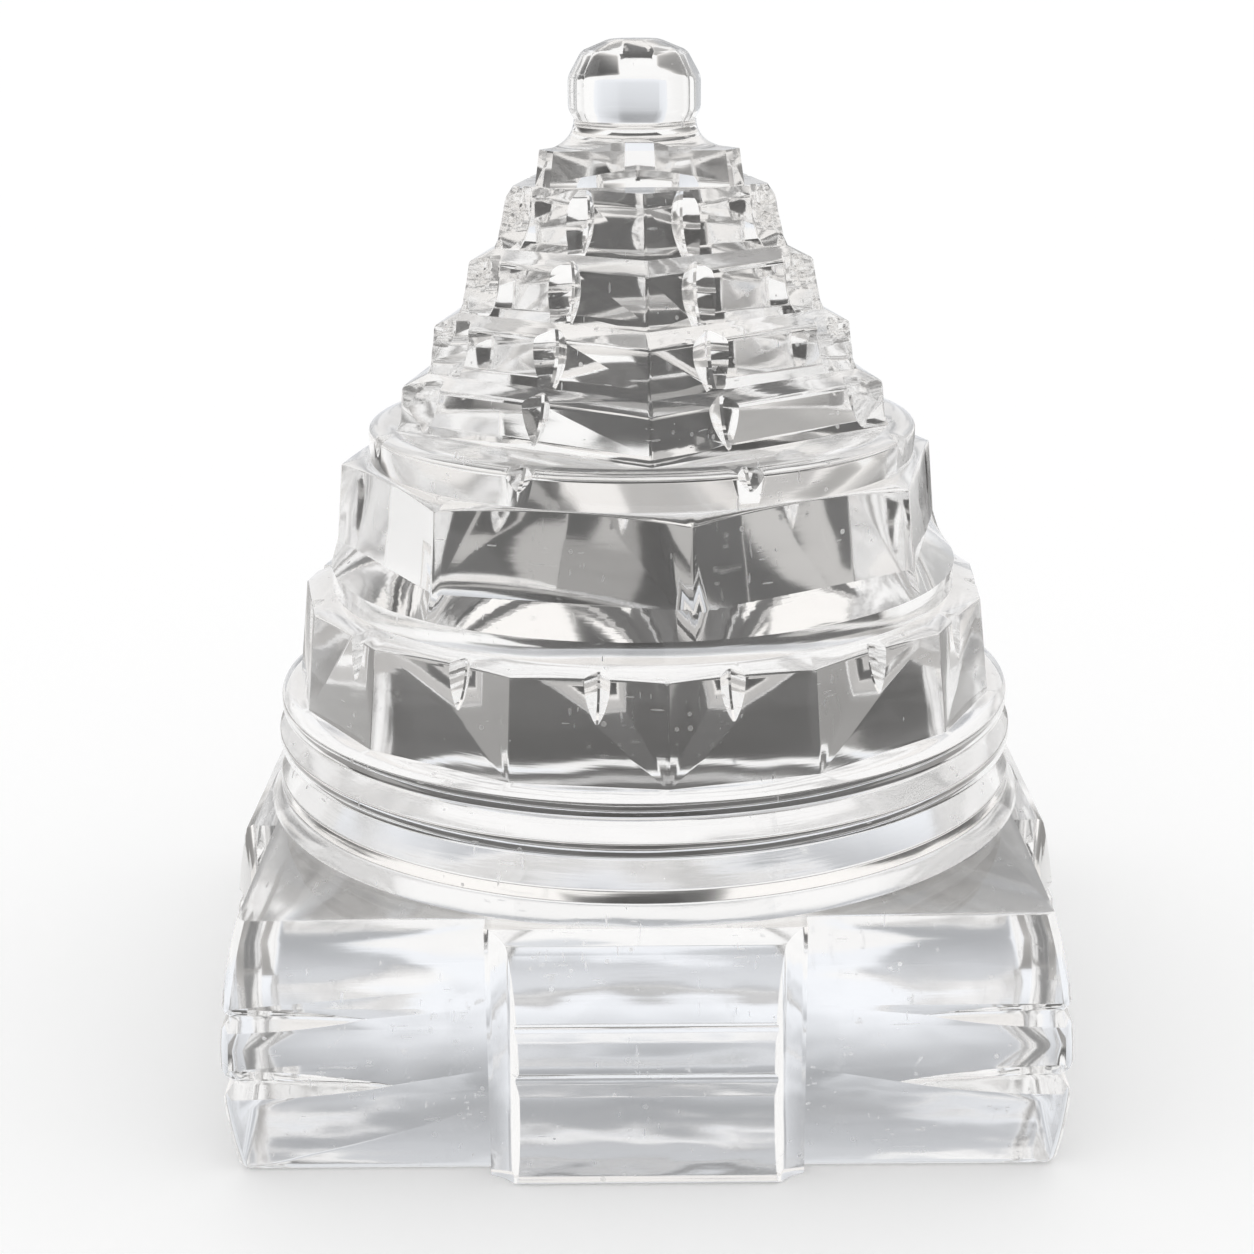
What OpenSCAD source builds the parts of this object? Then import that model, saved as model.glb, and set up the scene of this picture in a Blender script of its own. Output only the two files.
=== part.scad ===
// Meru shri yantra of clear rock crystal: a square base with four gates carries three circles,
// two lotus tiers, four notched tiers, the trikona and the bindu, and each enclosure is seated
// on the flat top of the one below.
// Millimetres, +Z up, origin at the middle of the underside, front gate towards -Y.
// Angles run from the front (-Y) towards the right (+X).

/* [Base block] */
// Width across the bulging side faces
base_w = 46.3; // [42:0.1:52]
// Height of the block
base_h = 14.8; // [13:0.05:16]
// How far the top edge stands in from the bulge
base_top_inset = 1.2; // [0.8:0.05:1.8]
// Height at which the sides bulge most
base_bulge_z = 6.15; // [4.5:0.05:7]
// Rounding of the foot edge
base_foot_round = 0.5; // [0.3:0.1:1.4]
// Flat ground on each upright corner
base_corner_flat = 0.7; // [0.4:0.1:1.6]

/* [Gates] */
// Width of a gate's outer face
gate_w = 13.6; // [11:0.2:15]
// Width of a gate where it meets the block
gate_root_w = 17.2; // [16.2:0.1:20]
// How far a gate stands out of the block
gate_out = 1.8; // [1.2:0.1:2.6]
// Hollow ground into each slanting flank of a gate
gate_hollow = 0.3; // [0.1:0.05:0.5]
// Chamfer on the top edge of a gate's outer face
gate_chamfer = 0.5; // [0.2:0.05:0.5]

/* [Base grooves] */
// Height of the upper groove across a gate
gate_groove_upper_z = 9.5; // [8.5:0.05:10.5]
// Height of the lower groove across a gate
gate_groove_lower_z = 6.45; // [5:0.05:7]
// Depth of the grooves across a gate
gate_groove_depth = 0.6; // [0.3:0.05:0.9]
// Width of the grooves across a gate, at its face
gate_groove_mouth = 1.4; // [0.8:0.05:1.6]
// Height of the upper groove at a corner
corner_groove_upper_z = 9.45; // [8.5:0.05:10.5]
// Height of the lower groove at a corner
corner_groove_lower_z = 5.55; // [4.4:0.05:6.4]
// Depth of the grooves at a corner
corner_groove_depth = 0.65; // [0.3:0.05:0.9]
// Width of the grooves at a corner, at the face
corner_groove_mouth = 1.85; // [0.8:0.05:2]
// How far a groove runs along a face from its corner
corner_groove_run = 9.6; // [5:0.1:10]

/* [Three circles] */
// How far the upper circle stands out past the sixteen petals
upper_circle_out = 1; // [0.6:0.05:1.4]
// How far the middle circle stands out past the upper one
middle_circle_out = 0.25; // [0:0.05:0.5]
// How far the lower circle stands out past the upper one
lower_circle_out = 0.3; // [0:0.05:0.5]
// How far the sloping foot of the lower circle spreads
circle_foot_out = 0.65; // [0.3:0.05:0.8]
// Height of the sloping foot of the lower circle
circle_foot_h = 1.05; // [0.6:0.05:1.6]
// Height of the upright band on each circle
circle_band_h = 0.8; // [0.5:0.05:1.2]
// Depth of the grooves between the circles
circle_groove = 0.9; // [0.4:0.05:1.2]
// Height of the slope above the lower band
lower_slope_h = 1.35; // [0.6:0.05:1.6]
// Height of the slope above the middle band
middle_slope_h = 0.9; // [0.6:0.05:1.4]
// Height of the undercut below a band
circle_undercut_h = 0.5; // [0.2:0.05:0.8]
// Height of the slope that ends the upper circle
circle_top_h = 0.35; // [0.2:0.05:0.8]

/* [Sixteen-petal tier] */
// Width of the ledge from the corners in to the collar
sixteen_ledge = 1.2; // [0.6:0.05:1.8]
// Height of the facets
sixteen_h = 5.7; // [4.5:0.05:7]
// How much the facets lean in
sixteen_lean = 0.65; // [0.2:0.05:0.9]
// Depth of the notch in the middle of each facet
sixteen_notch_depth = 0.75; // [0.3:0.05:0.9]
// Height of the notches
sixteen_notch_h = 2.1; // [1.2:0.1:3]
// Width of the notches at the edge
sixteen_notch_w = 1.4; // [0.8:0.1:2]

/* [Collar] */
// How far the collar stands out past the corners of the eight petals
collar_out = 0.3; // [0.1:0.05:0.6]
// Height of the collar
collar_h = 1.3; // [0.9:0.05:1.8]

/* [Eight-petal tier] */
// Width of the ledge from the corners in to the plinth
eight_ledge = 0.2; // [0.1:0.05:1]
// Height of the facets
eight_h = 6; // [5:0.05:7]
// How much the facets lean in
eight_lean = 0.55; // [0.2:0.05:0.7]
// Height of the sloping ledge that the facets stand on
eight_foot_h = 1.45; // [0.8:0.05:2]

/* [Plinth] */
// Width of the ledge on the round plinth
plinth_ledge = 1.25; // [0.8:0.05:1.8]
// Height of the plinth's upright band
plinth_h = 1.75; // [1.4:0.05:2.6]
// Depth of the notches in the plinth's rim
plinth_notch_depth = 0.75; // [0.4:0.05:1]
// Height of the notches in the plinth's rim
plinth_notch_h = 1; // [0.6:0.05:1.4]
// Width of the notches in the plinth's rim
plinth_notch_w = 2; // [1.2:0.1:2.6]

/* [Notched tiers] */
// Width of the ledge on the first tier, at its corners
tier1_ledge = 1.5; // [1.3:0.05:2.2]
// Height of the first tier
tier1_h = 2.55; // [2.1:0.05:3.4]
// How much the facets of the first tier lean in
tier1_lean = 0.2; // [0.05:0.05:0.4]
// Height of the notches in the first tier
tier1_notch_h = 2.1; // [1.4:0.1:3]
// Width of the ledge on the second tier, at its corners
tier2_ledge = 1.5; // [1.3:0.05:2.2]
// Height of the second tier
tier2_h = 2.7; // [2.2:0.05:3.6]
// How much the facets of the second tier lean in
tier2_lean = 0.25; // [0.05:0.05:0.45]
// Height of the notches in the second tier
tier2_notch_h = 2.9; // [2:0.1:4]
// Width of the ledge on the third tier, at its corners
tier3_ledge = 1.5; // [1.3:0.05:2.2]
// Height of the third tier
tier3_h = 2.9; // [2.4:0.05:3.8]
// How much the facets of the third tier lean in
tier3_lean = 0.45; // [0.1:0.05:0.6]
// Height of the notches in the third tier
tier3_notch_h = 3.3; // [2.2:0.1:4.2]
// Width of the ledge on the fourth tier, at its corners
tier4_ledge = 0.5; // [0.4:0.05:1.2]
// Height of the fourth tier
tier4_h = 2.8; // [2.4:0.05:3.8]
// How much the facets of the fourth tier lean in
tier4_lean = 0.5; // [0.1:0.05:0.6]
// Height of the notches in the fourth tier
tier4_notch_h = 3.2; // [2.2:0.1:4.2]
// Depth of the notches at the top edge
tier_notch_depth = 0.9; // [0.6:0.05:1.1]
// Width of the notches at the top edge
tier_notch_w = 2; // [1.4:0.1:2.6]

/* [Ledges] */
// Height that the ledges of the two lotus tiers rise to the seat above
lotus_rise = 0.42; // [0.2:0.02:0.8]
// Height that the ledge of the plinth rises
plinth_rise = 0.4; // [0.2:0.05:0.8]
// Height that the ledges of the notched tiers rise
tier_rise = 0.68; // [0.3:0.02:1]
// How far the ground foot of a tier spreads
foot_out = 0.25; // [0.1:0.05:0.4]
// Height of the ground foot of a tier
foot_h = 0.5; // [0.3:0.05:0.8]

/* [Summit] */
// Radius over the blunted corners of the trikona
trikona_r = 6.45; // [6:0.05:7]
// Height of the trikona's upright faces
trikona_h = 2; // [1.6:0.05:3]
// How much the trikona's faces lean in
trikona_lean = 0.3; // [0.1:0.05:0.4]
// Height of the cove that rises from the trikona to the bindu
cove_h = 1.5; // [0.8:0.05:1.8]
// Radius of the neck below the bindu
neck_r = 3.55; // [3.3:0.05:3.6]
// Radius over the corners of the bindu
bindu_r = 3.9; // [3.8:0.05:4.3]
// Height over which the neck widens to the bindu
bindu_flare_h = 0.55; // [0.3:0.05:1]
// Height of the bindu's upright faces
bindu_h = 1.85; // [1.4:0.05:2.6]
// Radius of the shoulder of the bindu's crown
bindu_shoulder_r = 3.1; // [2.6:0.05:3.5]
// Height of the shoulder above the upright faces
bindu_shoulder_h = 1.4; // [0.8:0.05:2]
// Radius of the flat on top of the bindu
bindu_top_r = 1.4; // [0.8:0.05:2.2]
// Height of the bindu's top above the shoulder
bindu_top_h = 0.7; // [0.4:0.05:1.2]
// How far the bindu and its neck stand to the left of the axis
summit_off = 0.25; // [0:0.05:0.25]

/* [Hidden] */
$fn = 96;

quartz = [0.87, 0.9, 0.93];
half_w = base_w / 2;

// Corners that show at the front were cut by eye, and the hidden ones are spread evenly.
function spread(seen, count) =
  let (last = seen[len(seen) - 1], hidden = count - len(seen))
  let (step = (360 - last + seen[0]) / (hidden + 1))
  concat(seen, [for (i = [1 : hidden]) last + i * step]);
sixteen_corners = spread([-46, -20, 3.5, 26.5, 53.5], 16);
eight_corners = spread([-39, 8.5, 56], 8);
tier_corners = spread([-71, 2, 73], 6);
trikona_corners = [52, 68, 172, 188, 292, 308];
bindu_corners = spread([-48, 21, 53], 8);
sixteen_notches = spread([-29.5, -7, 13.5, 39.5], 16);
plinth_notches = [for (i = [0 : 7]) 21 + 45 * i];
tier_notches = spread([-64, -30, 22.5, 66], 8);

// Angle that the facet after a corner spans
function span(corners, i) = (corners[(i + 1) % len(corners)] - corners[i] + 720) % 360;

// Radius of the corners of a polygon whose sides stay outside a circle
function around(corners, r) = r / cos(max([for (i = [0 : len(corners) - 1]) span(corners, i)]) / 2);

// Distance from the axis to the outline of a polygon at an angle
function rim(corners, r, angle) =
  min([
    for (i = [0 : len(corners) - 1])
      let (half = span(corners, i) / 2)
      let (away = abs((angle - corners[i] - half + 900) % 360 - 180))
      if (away < 80) r * cos(half) / cos(away)
  ]);

// Radii over the corners, from the summit down: each tier is as wide as what it carries and its ledge
tier4_seat_r = max([for (a = trikona_corners) trikona_r / rim(tier_corners, 1, a)]);
tier4_r = tier4_seat_r + tier4_ledge + tier4_lean;
tier3_r = tier4_r + foot_out + tier3_ledge + tier3_lean;
tier2_r = tier3_r + foot_out + tier2_ledge + tier2_lean;
tier1_r = tier2_r + foot_out + tier1_ledge + tier1_lean;
plinth_r = tier1_r + foot_out + plinth_ledge;
eight_seat_r = around(eight_corners, plinth_r);
eight_r = eight_seat_r + eight_ledge + eight_lean;
collar_r = eight_r + collar_out;
sixteen_seat_r = around(sixteen_corners, collar_r);
sixteen_r = sixteen_seat_r + sixteen_ledge + sixteen_lean;
upper_circle_r = sixteen_r + upper_circle_out;
middle_circle_r = upper_circle_r + middle_circle_out;
lower_circle_r = upper_circle_r + lower_circle_out;

// Heights at which one piece rests on the next
z_lower_circle = base_h;
z_middle_circle = z_lower_circle + circle_foot_h + circle_band_h + lower_slope_h;
z_upper_circle = z_middle_circle + circle_undercut_h + circle_band_h + middle_slope_h;
z_sixteen = z_upper_circle + circle_undercut_h + circle_band_h + circle_top_h;
z_collar = z_sixteen + sixteen_h + lotus_rise;
z_eight = z_collar + collar_h;
z_plinth = z_eight + eight_h + lotus_rise;
z_tier1 = z_plinth + plinth_h + plinth_rise;
z_tier2 = z_tier1 + tier1_h + tier_rise;
z_tier3 = z_tier2 + tier2_h + tier_rise;
z_tier4 = z_tier3 + tier3_h + tier_rise;
z_trikona = z_tier4 + tier4_h + tier_rise;
z_bindu = z_trikona + trikona_h + cove_h;

// Cutting wheels
notch_wheel_r = 12;
notch_wheel_w = 4;
overcut = 1;
// Flats that stand for the rounded foot, for the bulge and for the ledge below one of the eight petals
foot_steps = 4;
bulge_steps = 8;
ledge_steps = 12;
// Share of its height that the ledge of the eight petals is carried on into them
ledge_over = 1.25;

// A wheel with a bevelled rim, turning about its own Z axis
module wheel(r, bevel_depth, bevel_half) {
  rotate_extrude($fn = 180) polygon([
    [0, -bevel_half], [r - bevel_depth, -bevel_half], [r, 0], [r - bevel_depth, bevel_half], [0, bevel_half]
  ]);
}

// A notch ground down from a top edge, with its wheel standing upright in the radial plane
module notch(angle, edge_r, edge_z, depth, height, width) {
  chord = sqrt(depth ^ 2 + height ^ 2);
  reach = sqrt(notch_wheel_r ^ 2 - (chord / 2) ^ 2);
  centre_r = edge_r - depth / 2 + reach * height / chord;
  centre_z = edge_z - height / 2 + reach * depth / chord;
  bevel = notch_wheel_w * depth / width;
  rotate([0, 0, angle]) translate([0, -centre_r, centre_z]) rotate([0, 90, 0])
    wheel(notch_wheel_r, bevel, notch_wheel_w / 2);
}

// A tier with flat facets, lofted through outlines that share their corners
module facets(corners, sections) {
  n = len(corners);
  points = [for (s = sections) for (a = corners) [s[0] * sin(a), -s[0] * cos(a), s[1]]];
  walls = [
    for (k = [0 : len(sections) - 2]) for (i = [0 : n - 1])
      [k * n + i, (k + 1) * n + i, (k + 1) * n + (i + 1) % n, k * n + (i + 1) % n]
  ];
  floor_face = [for (i = [0 : n - 1]) i];
  top_face = [for (i = [n - 1 : -1 : 0]) (len(sections) - 1) * n + i];
  polyhedron(points, concat([floor_face], walls, [top_face]));
}

// How far a bulging side stands in from its widest point, at a height
function bulge_in(z) =
  let (bulge_r = (base_top_inset ^ 2 + (base_h - base_bulge_z) ^ 2) / (2 * base_top_inset))
  bulge_r - sqrt(bulge_r ^ 2 - (z - base_bulge_z) ^ 2);

// A square block with bulging sides, a rounded foot edge and blunted upright corners
module bulging_square(reach) {
  corner_turn = atan2(reach, reach - base_corner_flat / sqrt(2)) - 45;
  corners = [for (q = [0 : 90 : 270]) for (side = [-1, 1]) q + 45 + side * corner_turn];
  foot = [
    for (i = [0 : foot_steps - 1])
      let (t = 90 * i / foot_steps)
      [reach - bulge_in(base_foot_round) - base_foot_round * (1 - sin(t)), base_foot_round * (1 - cos(t))]
  ];
  side = [
    for (i = [0 : bulge_steps])
      let (z = base_foot_round + (base_h - base_foot_round) * i / bulge_steps)
      [reach - bulge_in(z), z]
  ];
  facets(corners, [for (p = concat(foot, side)) [p[0] / cos(45 - corner_turn), p[1]]]);
}

module base_block() {
  wheel_r = (corner_groove_run ^ 2 + corner_groove_depth ^ 2) / (2 * corner_groove_depth);
  color(quartz) difference() {
    bulging_square(half_w);
    for (turn = [0 : 90 : 270], side = [-1, 1], z = [corner_groove_upper_z, corner_groove_lower_z])
      rotate([0, 0, turn])
        translate([side * half_w, -(half_w - corner_groove_depth + wheel_r), z])
          wheel(wheel_r, 2 * corner_groove_depth, corner_groove_mouth);
  }
}

module gate(turn) {
  face_y = half_w + gate_out;
  flank = [gate_root_w / 2 - gate_w / 2, gate_out];
  flank_len = norm(flank);
  hollow_r = ((flank_len / 2) ^ 2 + gate_hollow ^ 2) / (2 * gate_hollow);
  flank_out = [flank[1], -flank[0]] / flank_len;
  hollow_at = [gate_w / 2, -face_y] + flank / 2 + flank_out * (hollow_r - gate_hollow);
  groove_cut = gate_groove_mouth / 2 * (1 + overcut / gate_groove_depth);
  chamfer_cut = gate_chamfer + overcut;
  color(quartz) rotate([0, 0, turn]) difference() {
    intersection() {
      linear_extrude(height = base_h) polygon([
        [-gate_w / 2, -face_y], [gate_w / 2, -face_y], [gate_root_w / 2, -half_w],
        [gate_root_w / 2, -half_w / 2], [-gate_root_w / 2, -half_w / 2], [-gate_root_w / 2, -half_w]
      ]);
      bulging_square(face_y);
    }
    bulging_square(half_w);
    for (side = [-1, 1]) translate([side * hollow_at[0], hollow_at[1], -overcut])
      cylinder(r = hollow_r, h = base_h + 2 * overcut);
    for (z = [gate_groove_upper_z, gate_groove_lower_z]) translate([0, -face_y, z]) rotate([0, 90, 0])
      linear_extrude(height = base_w, center = true)
        polygon([[-groove_cut, -overcut], [groove_cut, -overcut], [0, gate_groove_depth]]);
    translate([0, base_top_inset - face_y, base_h]) rotate([0, 90, 0])
      linear_extrude(height = base_w, center = true)
        polygon([[-overcut, chamfer_cut], [-overcut, -overcut], [chamfer_cut, -overcut]]);
  }
}

module gate_front() { gate(0); }
module gate_right() { gate(90); }
module gate_back() { gate(180); }
module gate_left() { gate(270); }

// A solid of revolution from the radius and height of each bend of its profile
module turned(profile) {
  first = profile[0];
  last = profile[len(profile) - 1];
  rotate_extrude($fn = 180) polygon(concat([[0, first[1]]], profile, [[0, last[1]]]));
}

module lower_circle() {
  r = lower_circle_r;
  band = z_lower_circle + circle_foot_h;
  color(quartz) turned([
    [r + circle_foot_out, z_lower_circle], [r, band], [r, band + circle_band_h],
    [r - circle_groove, z_middle_circle]
  ]);
}

module middle_circle() {
  r = middle_circle_r;
  band = z_middle_circle + circle_undercut_h;
  color(quartz) turned([
    [lower_circle_r - circle_groove, z_middle_circle], [r, band], [r, band + circle_band_h],
    [r - circle_groove, z_upper_circle]
  ]);
}

module upper_circle() {
  r = upper_circle_r;
  band = z_upper_circle + circle_undercut_h;
  color(quartz) turned([
    [middle_circle_r - circle_groove, z_upper_circle], [r, band], [r, band + circle_band_h],
    [sixteen_r, z_sixteen]
  ]);
}

module sixteen_petal_tier() {
  edge_z = z_sixteen + sixteen_h;
  edge_r = sixteen_r - sixteen_lean;
  color(quartz) difference() {
    facets(sixteen_corners, [
      [sixteen_r, z_sixteen], [edge_r, edge_z], [sixteen_seat_r, z_collar]
    ]);
    for (a = sixteen_notches) {
      mouth_r = rim(sixteen_corners, edge_r, a);
      notch(a, mouth_r, edge_z, sixteen_notch_depth, sixteen_notch_h, sixteen_notch_w);
    }
  }
}

module lotus_collar() {
  color(quartz) turned([[collar_r, z_collar], [collar_r, z_eight]]);
}

// The sloping ledge from the round collar in to the straight feet of the eight petals
module eight_ledge_ring() {
  angles = [
    for (i = [0 : len(eight_corners) - 1]) for (k = [0 : ledge_steps - 1])
      eight_corners[i] + span(eight_corners, i) * k / ledge_steps
  ];
  n = len(angles);
  foot_r = eight_r - eight_lean * eight_foot_h / eight_h;
  points = concat(
    [for (a = angles) [collar_r * sin(a), -collar_r * cos(a), z_eight]],
    [
      for (a = angles)
        let (r = collar_r + ledge_over * (rim(eight_corners, foot_r, a) - collar_r))
        [r * sin(a), -r * cos(a), z_eight + ledge_over * eight_foot_h]
    ]
  );
  walls = [
    for (i = [0 : n - 1])
      let (next = (i + 1) % n)
      each [[i, n + i, n + next], [i, n + next, next]]
  ];
  floor_face = [for (i = [0 : n - 1]) i];
  top_face = [for (i = [n - 1 : -1 : 0]) n + i];
  polyhedron(points, concat([floor_face], walls, [top_face]));
}

module eight_petal_tier() {
  edge_z = z_eight + eight_h;
  edge_r = eight_r - eight_lean;
  color(quartz) union() {
    facets(eight_corners, [
      [eight_r, z_eight], [edge_r, edge_z], [eight_seat_r, z_plinth]
    ]);
    eight_ledge_ring();
  }
}

module plinth_ring() {
  edge_z = z_plinth + plinth_h;
  color(quartz) difference() {
    turned([
      [plinth_r, z_plinth], [plinth_r, edge_z], [tier1_r + foot_out, z_tier1]
    ]);
    for (a = plinth_notches) notch(a, plinth_r, edge_z, plinth_notch_depth, plinth_notch_h, plinth_notch_w);
  }
}

// A six-flat tier with its notches, from its seat at z up to the seat of the piece above
module notched_tier(r, height, lean, notch_h, z, next_r) {
  edge_z = z + height;
  edge_r = r - lean;
  color(quartz) difference() {
    facets(tier_corners, [
      [r + foot_out, z], [r, z + foot_h], [edge_r, edge_z], [next_r, edge_z + tier_rise]
    ]);
    for (a = tier_notches)
      notch(a, rim(tier_corners, edge_r, a), edge_z, tier_notch_depth, notch_h, tier_notch_w);
  }
}

module notched_tier_1() {
  notched_tier(tier1_r, tier1_h, tier1_lean, tier1_notch_h, z_tier1, tier2_r + foot_out);
}

module notched_tier_2() {
  notched_tier(tier2_r, tier2_h, tier2_lean, tier2_notch_h, z_tier2, tier3_r + foot_out);
}

module notched_tier_3() {
  notched_tier(tier3_r, tier3_h, tier3_lean, tier3_notch_h, z_tier3, tier4_r + foot_out);
}

module notched_tier_4() {
  notched_tier(tier4_r, tier4_h, tier4_lean, tier4_notch_h, z_tier4, tier4_seat_r);
}

module trikona() {
  shoulder_r = trikona_r - trikona_lean;
  shoulder_z = z_trikona + trikona_h;
  color(quartz) intersection() {
    facets(trikona_corners, [[trikona_r, z_trikona], [shoulder_r, shoulder_z], [shoulder_r, z_bindu]]);
    translate([-summit_off, 0, z_trikona]) rotate_extrude($fn = 180) difference() {
      union() {
        square([trikona_r + overcut, trikona_h]);
        square([neck_r + cove_h, trikona_h + cove_h]);
      }
      translate([neck_r + cove_h, trikona_h + cove_h]) circle(r = cove_h);
    }
  }
}

module bindu() {
  flare_z = z_bindu + bindu_flare_h;
  girdle_z = flare_z + bindu_h;
  shoulder_z = girdle_z + bindu_shoulder_h;
  color(quartz) translate([-summit_off, 0, 0]) facets(bindu_corners, [
    [neck_r, z_bindu], [bindu_r, flare_z], [bindu_r, girdle_z],
    [bindu_shoulder_r, shoulder_z], [bindu_top_r, shoulder_z + bindu_top_h]
  ]);
}

base_block();
gate_front();
gate_right();
gate_back();
gate_left();
lower_circle();
middle_circle();
upper_circle();
sixteen_petal_tier();
lotus_collar();
eight_petal_tier();
plinth_ring();
notched_tier_1();
notched_tier_2();
notched_tier_3();
notched_tier_4();
trikona();
bindu();
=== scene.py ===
"""Clear rock-crystal meru shri yantra.

Each carved enclosure is ground from its own blank and seated on the next. Sizes are in millimetres and become
metres where a mesh is made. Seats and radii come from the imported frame. Angles run from the front (-Y) towards
the right (+X), in degrees.
"""
import math

import bpy
from mathutils import Matrix, Vector


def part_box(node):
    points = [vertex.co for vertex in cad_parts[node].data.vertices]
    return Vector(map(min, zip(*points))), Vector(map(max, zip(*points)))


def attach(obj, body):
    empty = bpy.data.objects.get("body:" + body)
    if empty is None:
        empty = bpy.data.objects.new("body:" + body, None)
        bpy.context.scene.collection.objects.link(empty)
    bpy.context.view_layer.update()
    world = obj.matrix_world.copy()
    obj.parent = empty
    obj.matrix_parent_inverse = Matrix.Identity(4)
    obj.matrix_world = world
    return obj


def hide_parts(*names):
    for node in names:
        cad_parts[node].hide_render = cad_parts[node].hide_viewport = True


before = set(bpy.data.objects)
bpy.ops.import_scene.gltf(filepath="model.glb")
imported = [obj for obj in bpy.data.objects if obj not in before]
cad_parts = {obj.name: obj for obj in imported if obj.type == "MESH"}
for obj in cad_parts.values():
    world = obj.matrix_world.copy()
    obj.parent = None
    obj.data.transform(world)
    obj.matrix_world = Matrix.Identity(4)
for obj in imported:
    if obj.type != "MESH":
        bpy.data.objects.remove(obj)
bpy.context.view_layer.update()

MM = 0.001

# Carving
CIRCLE_SIDES = 192
BASE_HALF = 23.15
BASE_TOP_INSET = 1.2
BASE_BULGE_Z = 6.15
BASE_FOOT_ROUND = 0.5
BASE_FOOT_STEPS = 5
BASE_SIDE_STEPS = 12
BASE_CORNER_FLAT = 0.7
GATE_WIDTH = 13.6
GATE_ROOT_WIDTH = 17.2
GATE_ROOT_DEPTH = 3
GATE_OUT = 1.8
GATE_HOLLOW = 0.3
GATE_CHAMFER = 0.5
GATE_GROOVES = (9.5, 6.45)
GATE_GROOVE_DEPTH = 0.6
GATE_GROOVE_MOUTH = 1.4
GATE_GROOVE_RUN = 20
CORNER_GROOVES = (9.45, 5.55)
CORNER_GROOVE_DEPTH = 0.65
CORNER_GROOVE_MOUTH = 1.85
CORNER_GROOVE_RUN = 9.6
CORNER_GROOVE_TIP = (0.15, 0.22)
CIRCLE_FOOT_OUT = 0.65
CIRCLE_FOOT_RISE = 1.05
CIRCLE_BAND = 0.8
CIRCLE_GROOVE = 0.9
CIRCLE_UNDERCUT = 0.5
LOTUS_RISE = 0.42
SIXTEEN_LEAN = 0.65
SIXTEEN_NOTCH = (0.75, 2.1, 1.4)
COLLAR_LINE = 0.6
EIGHT_LEAN = 0.55
EIGHT_INSET = 0.3
EIGHT_FOOT_RISE = 1.45
PLINTH_RISE = 0.4
PLINTH_NOTCH = (0.75, 1.0, 2.0)
TIER_RISE = 0.68
TIER_FOOT_OUT = 0.25
TIER_FOOT_RISE = 0.5
TIER_LEANS = (0.2, 0.25, 0.45, 0.5)
TIER_NOTCH_DEPTH = 0.9
TIER_NOTCH_HEIGHTS = (2.1, 2.9, 3.3, 3.0)
TIER_NOTCH_WIDTHS = (2.0, 2.2, 1.9, 1.7)
TRIKONA_LEAN = 0.3
COVE_RISE = 1.5
COVE_STEPS = 12
SUMMIT_OFF = 0.25
NECK_SHARE = 3.55 / 3.9
BINDU_FLARE = 0.55
BINDU_UPRIGHT = 1.85
BINDU_SHOULDER_RISE = 1.4
BINDU_SHOULDER_SHARE = 0.8
BINDU_TOP_SHARE = 0.36
EDGE_SOFTENING = 0.2
RING_SOFTENING = 0.09
FACET_SOFTENING = 0.16
BINDU_SOFTENING = 0.24
WHEEL_RADIUS = 4.0
WHEEL_SHARES = (-1.9, -1.4, -1, -0.6, -0.3, -0.1, 0.1, 0.3, 0.6, 1, 1.4, 1.9)
WHEEL_BEND = 1.25
TOOL_SIDES = 128
SEAT_DEPTH = 0.004
SEAT_MARGIN = 0.02
SMOOTH_ANGLE = 22

# Finish: the stone, the heights of its waves and marks, and how rough they are
QUARTZ_TINT = (0.98, 0.974, 0.966, 1)
QUARTZ_INDEX = 1.544
WAVE_HEIGHT = 0.07
STREAK_HEIGHT = 0.002
LEDGE_STREAK_HEIGHT = 0.012
MARK_DEPTH = 0.006
POLISH_ROUGHNESS = 0.06
MARK_ROUGHNESS = 0.3
MARKED_ABOVE = 0.56
SCRATCHED_ABOVE = 0.8
PIT_REACH = 0.13


def spread(seen, count):
    """The corners that show at the front, as they were cut, and the hidden ones spread evenly."""
    hidden = count - len(seen)
    step = (360 - seen[-1] + seen[0]) / (hidden + 1)
    return list(seen) + [seen[-1] + step * (i + 1) for i in range(hidden)]


SIXTEEN_CORNERS = spread([-46, -20, 3.5, 26.5, 53.5], 16)
EIGHT_CORNERS = spread([-39, 8.5, 56], 8)
TIER_CORNERS = spread([-71, 2, 73], 6)
TRIKONA_CORNERS = [52, 68, 172, 188, 292, 308]
BINDU_CORNERS = spread([-48, 21, 53], 8)
SIXTEEN_NOTCHES = spread([-29.5, -7, 13.5, 39.5], 16)
PLINTH_NOTCHES = [21 + 45 * i for i in range(8)]
TIER_NOTCHES = spread([-64, -30, 22.5, 66], 8)


def foot(node):
    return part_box(node)[0].z / MM


def crown(node):
    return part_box(node)[1].z / MM


def reach(node):
    """Half the width of a node across X."""
    low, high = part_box(node)
    return (high.x - low.x) / 2 / MM


def corner_radius(node, corners):
    """Radius over the corners, from how far a node reaches to the front and back."""
    low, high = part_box(node)
    depths = [-math.cos(math.radians(a)) for a in corners]
    return (high.y - low.y) / MM / (max(depths) - min(depths))


def direction(angle):
    a = math.radians(angle)
    return Vector((math.sin(a), -math.cos(a), 0))


def middles(corners):
    """The middle angle of each facet between two corners, and half of the angle that it spans."""
    found = []
    for i, a in enumerate(corners):
        span = (corners[(i + 1) % len(corners)] - a) % 360
        found.append((a + span / 2, span / 2))
    return found


def rim(corners, radius, angle):
    """Distance from the axis to a polygon's outline at an angle."""
    near = []
    for middle, half in middles(corners):
        away = abs((angle - middle + 180) % 360 - 180)
        if away < 80:
            near.append(radius * math.cos(math.radians(half)) / math.cos(math.radians(away)))
    return min(near)


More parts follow.
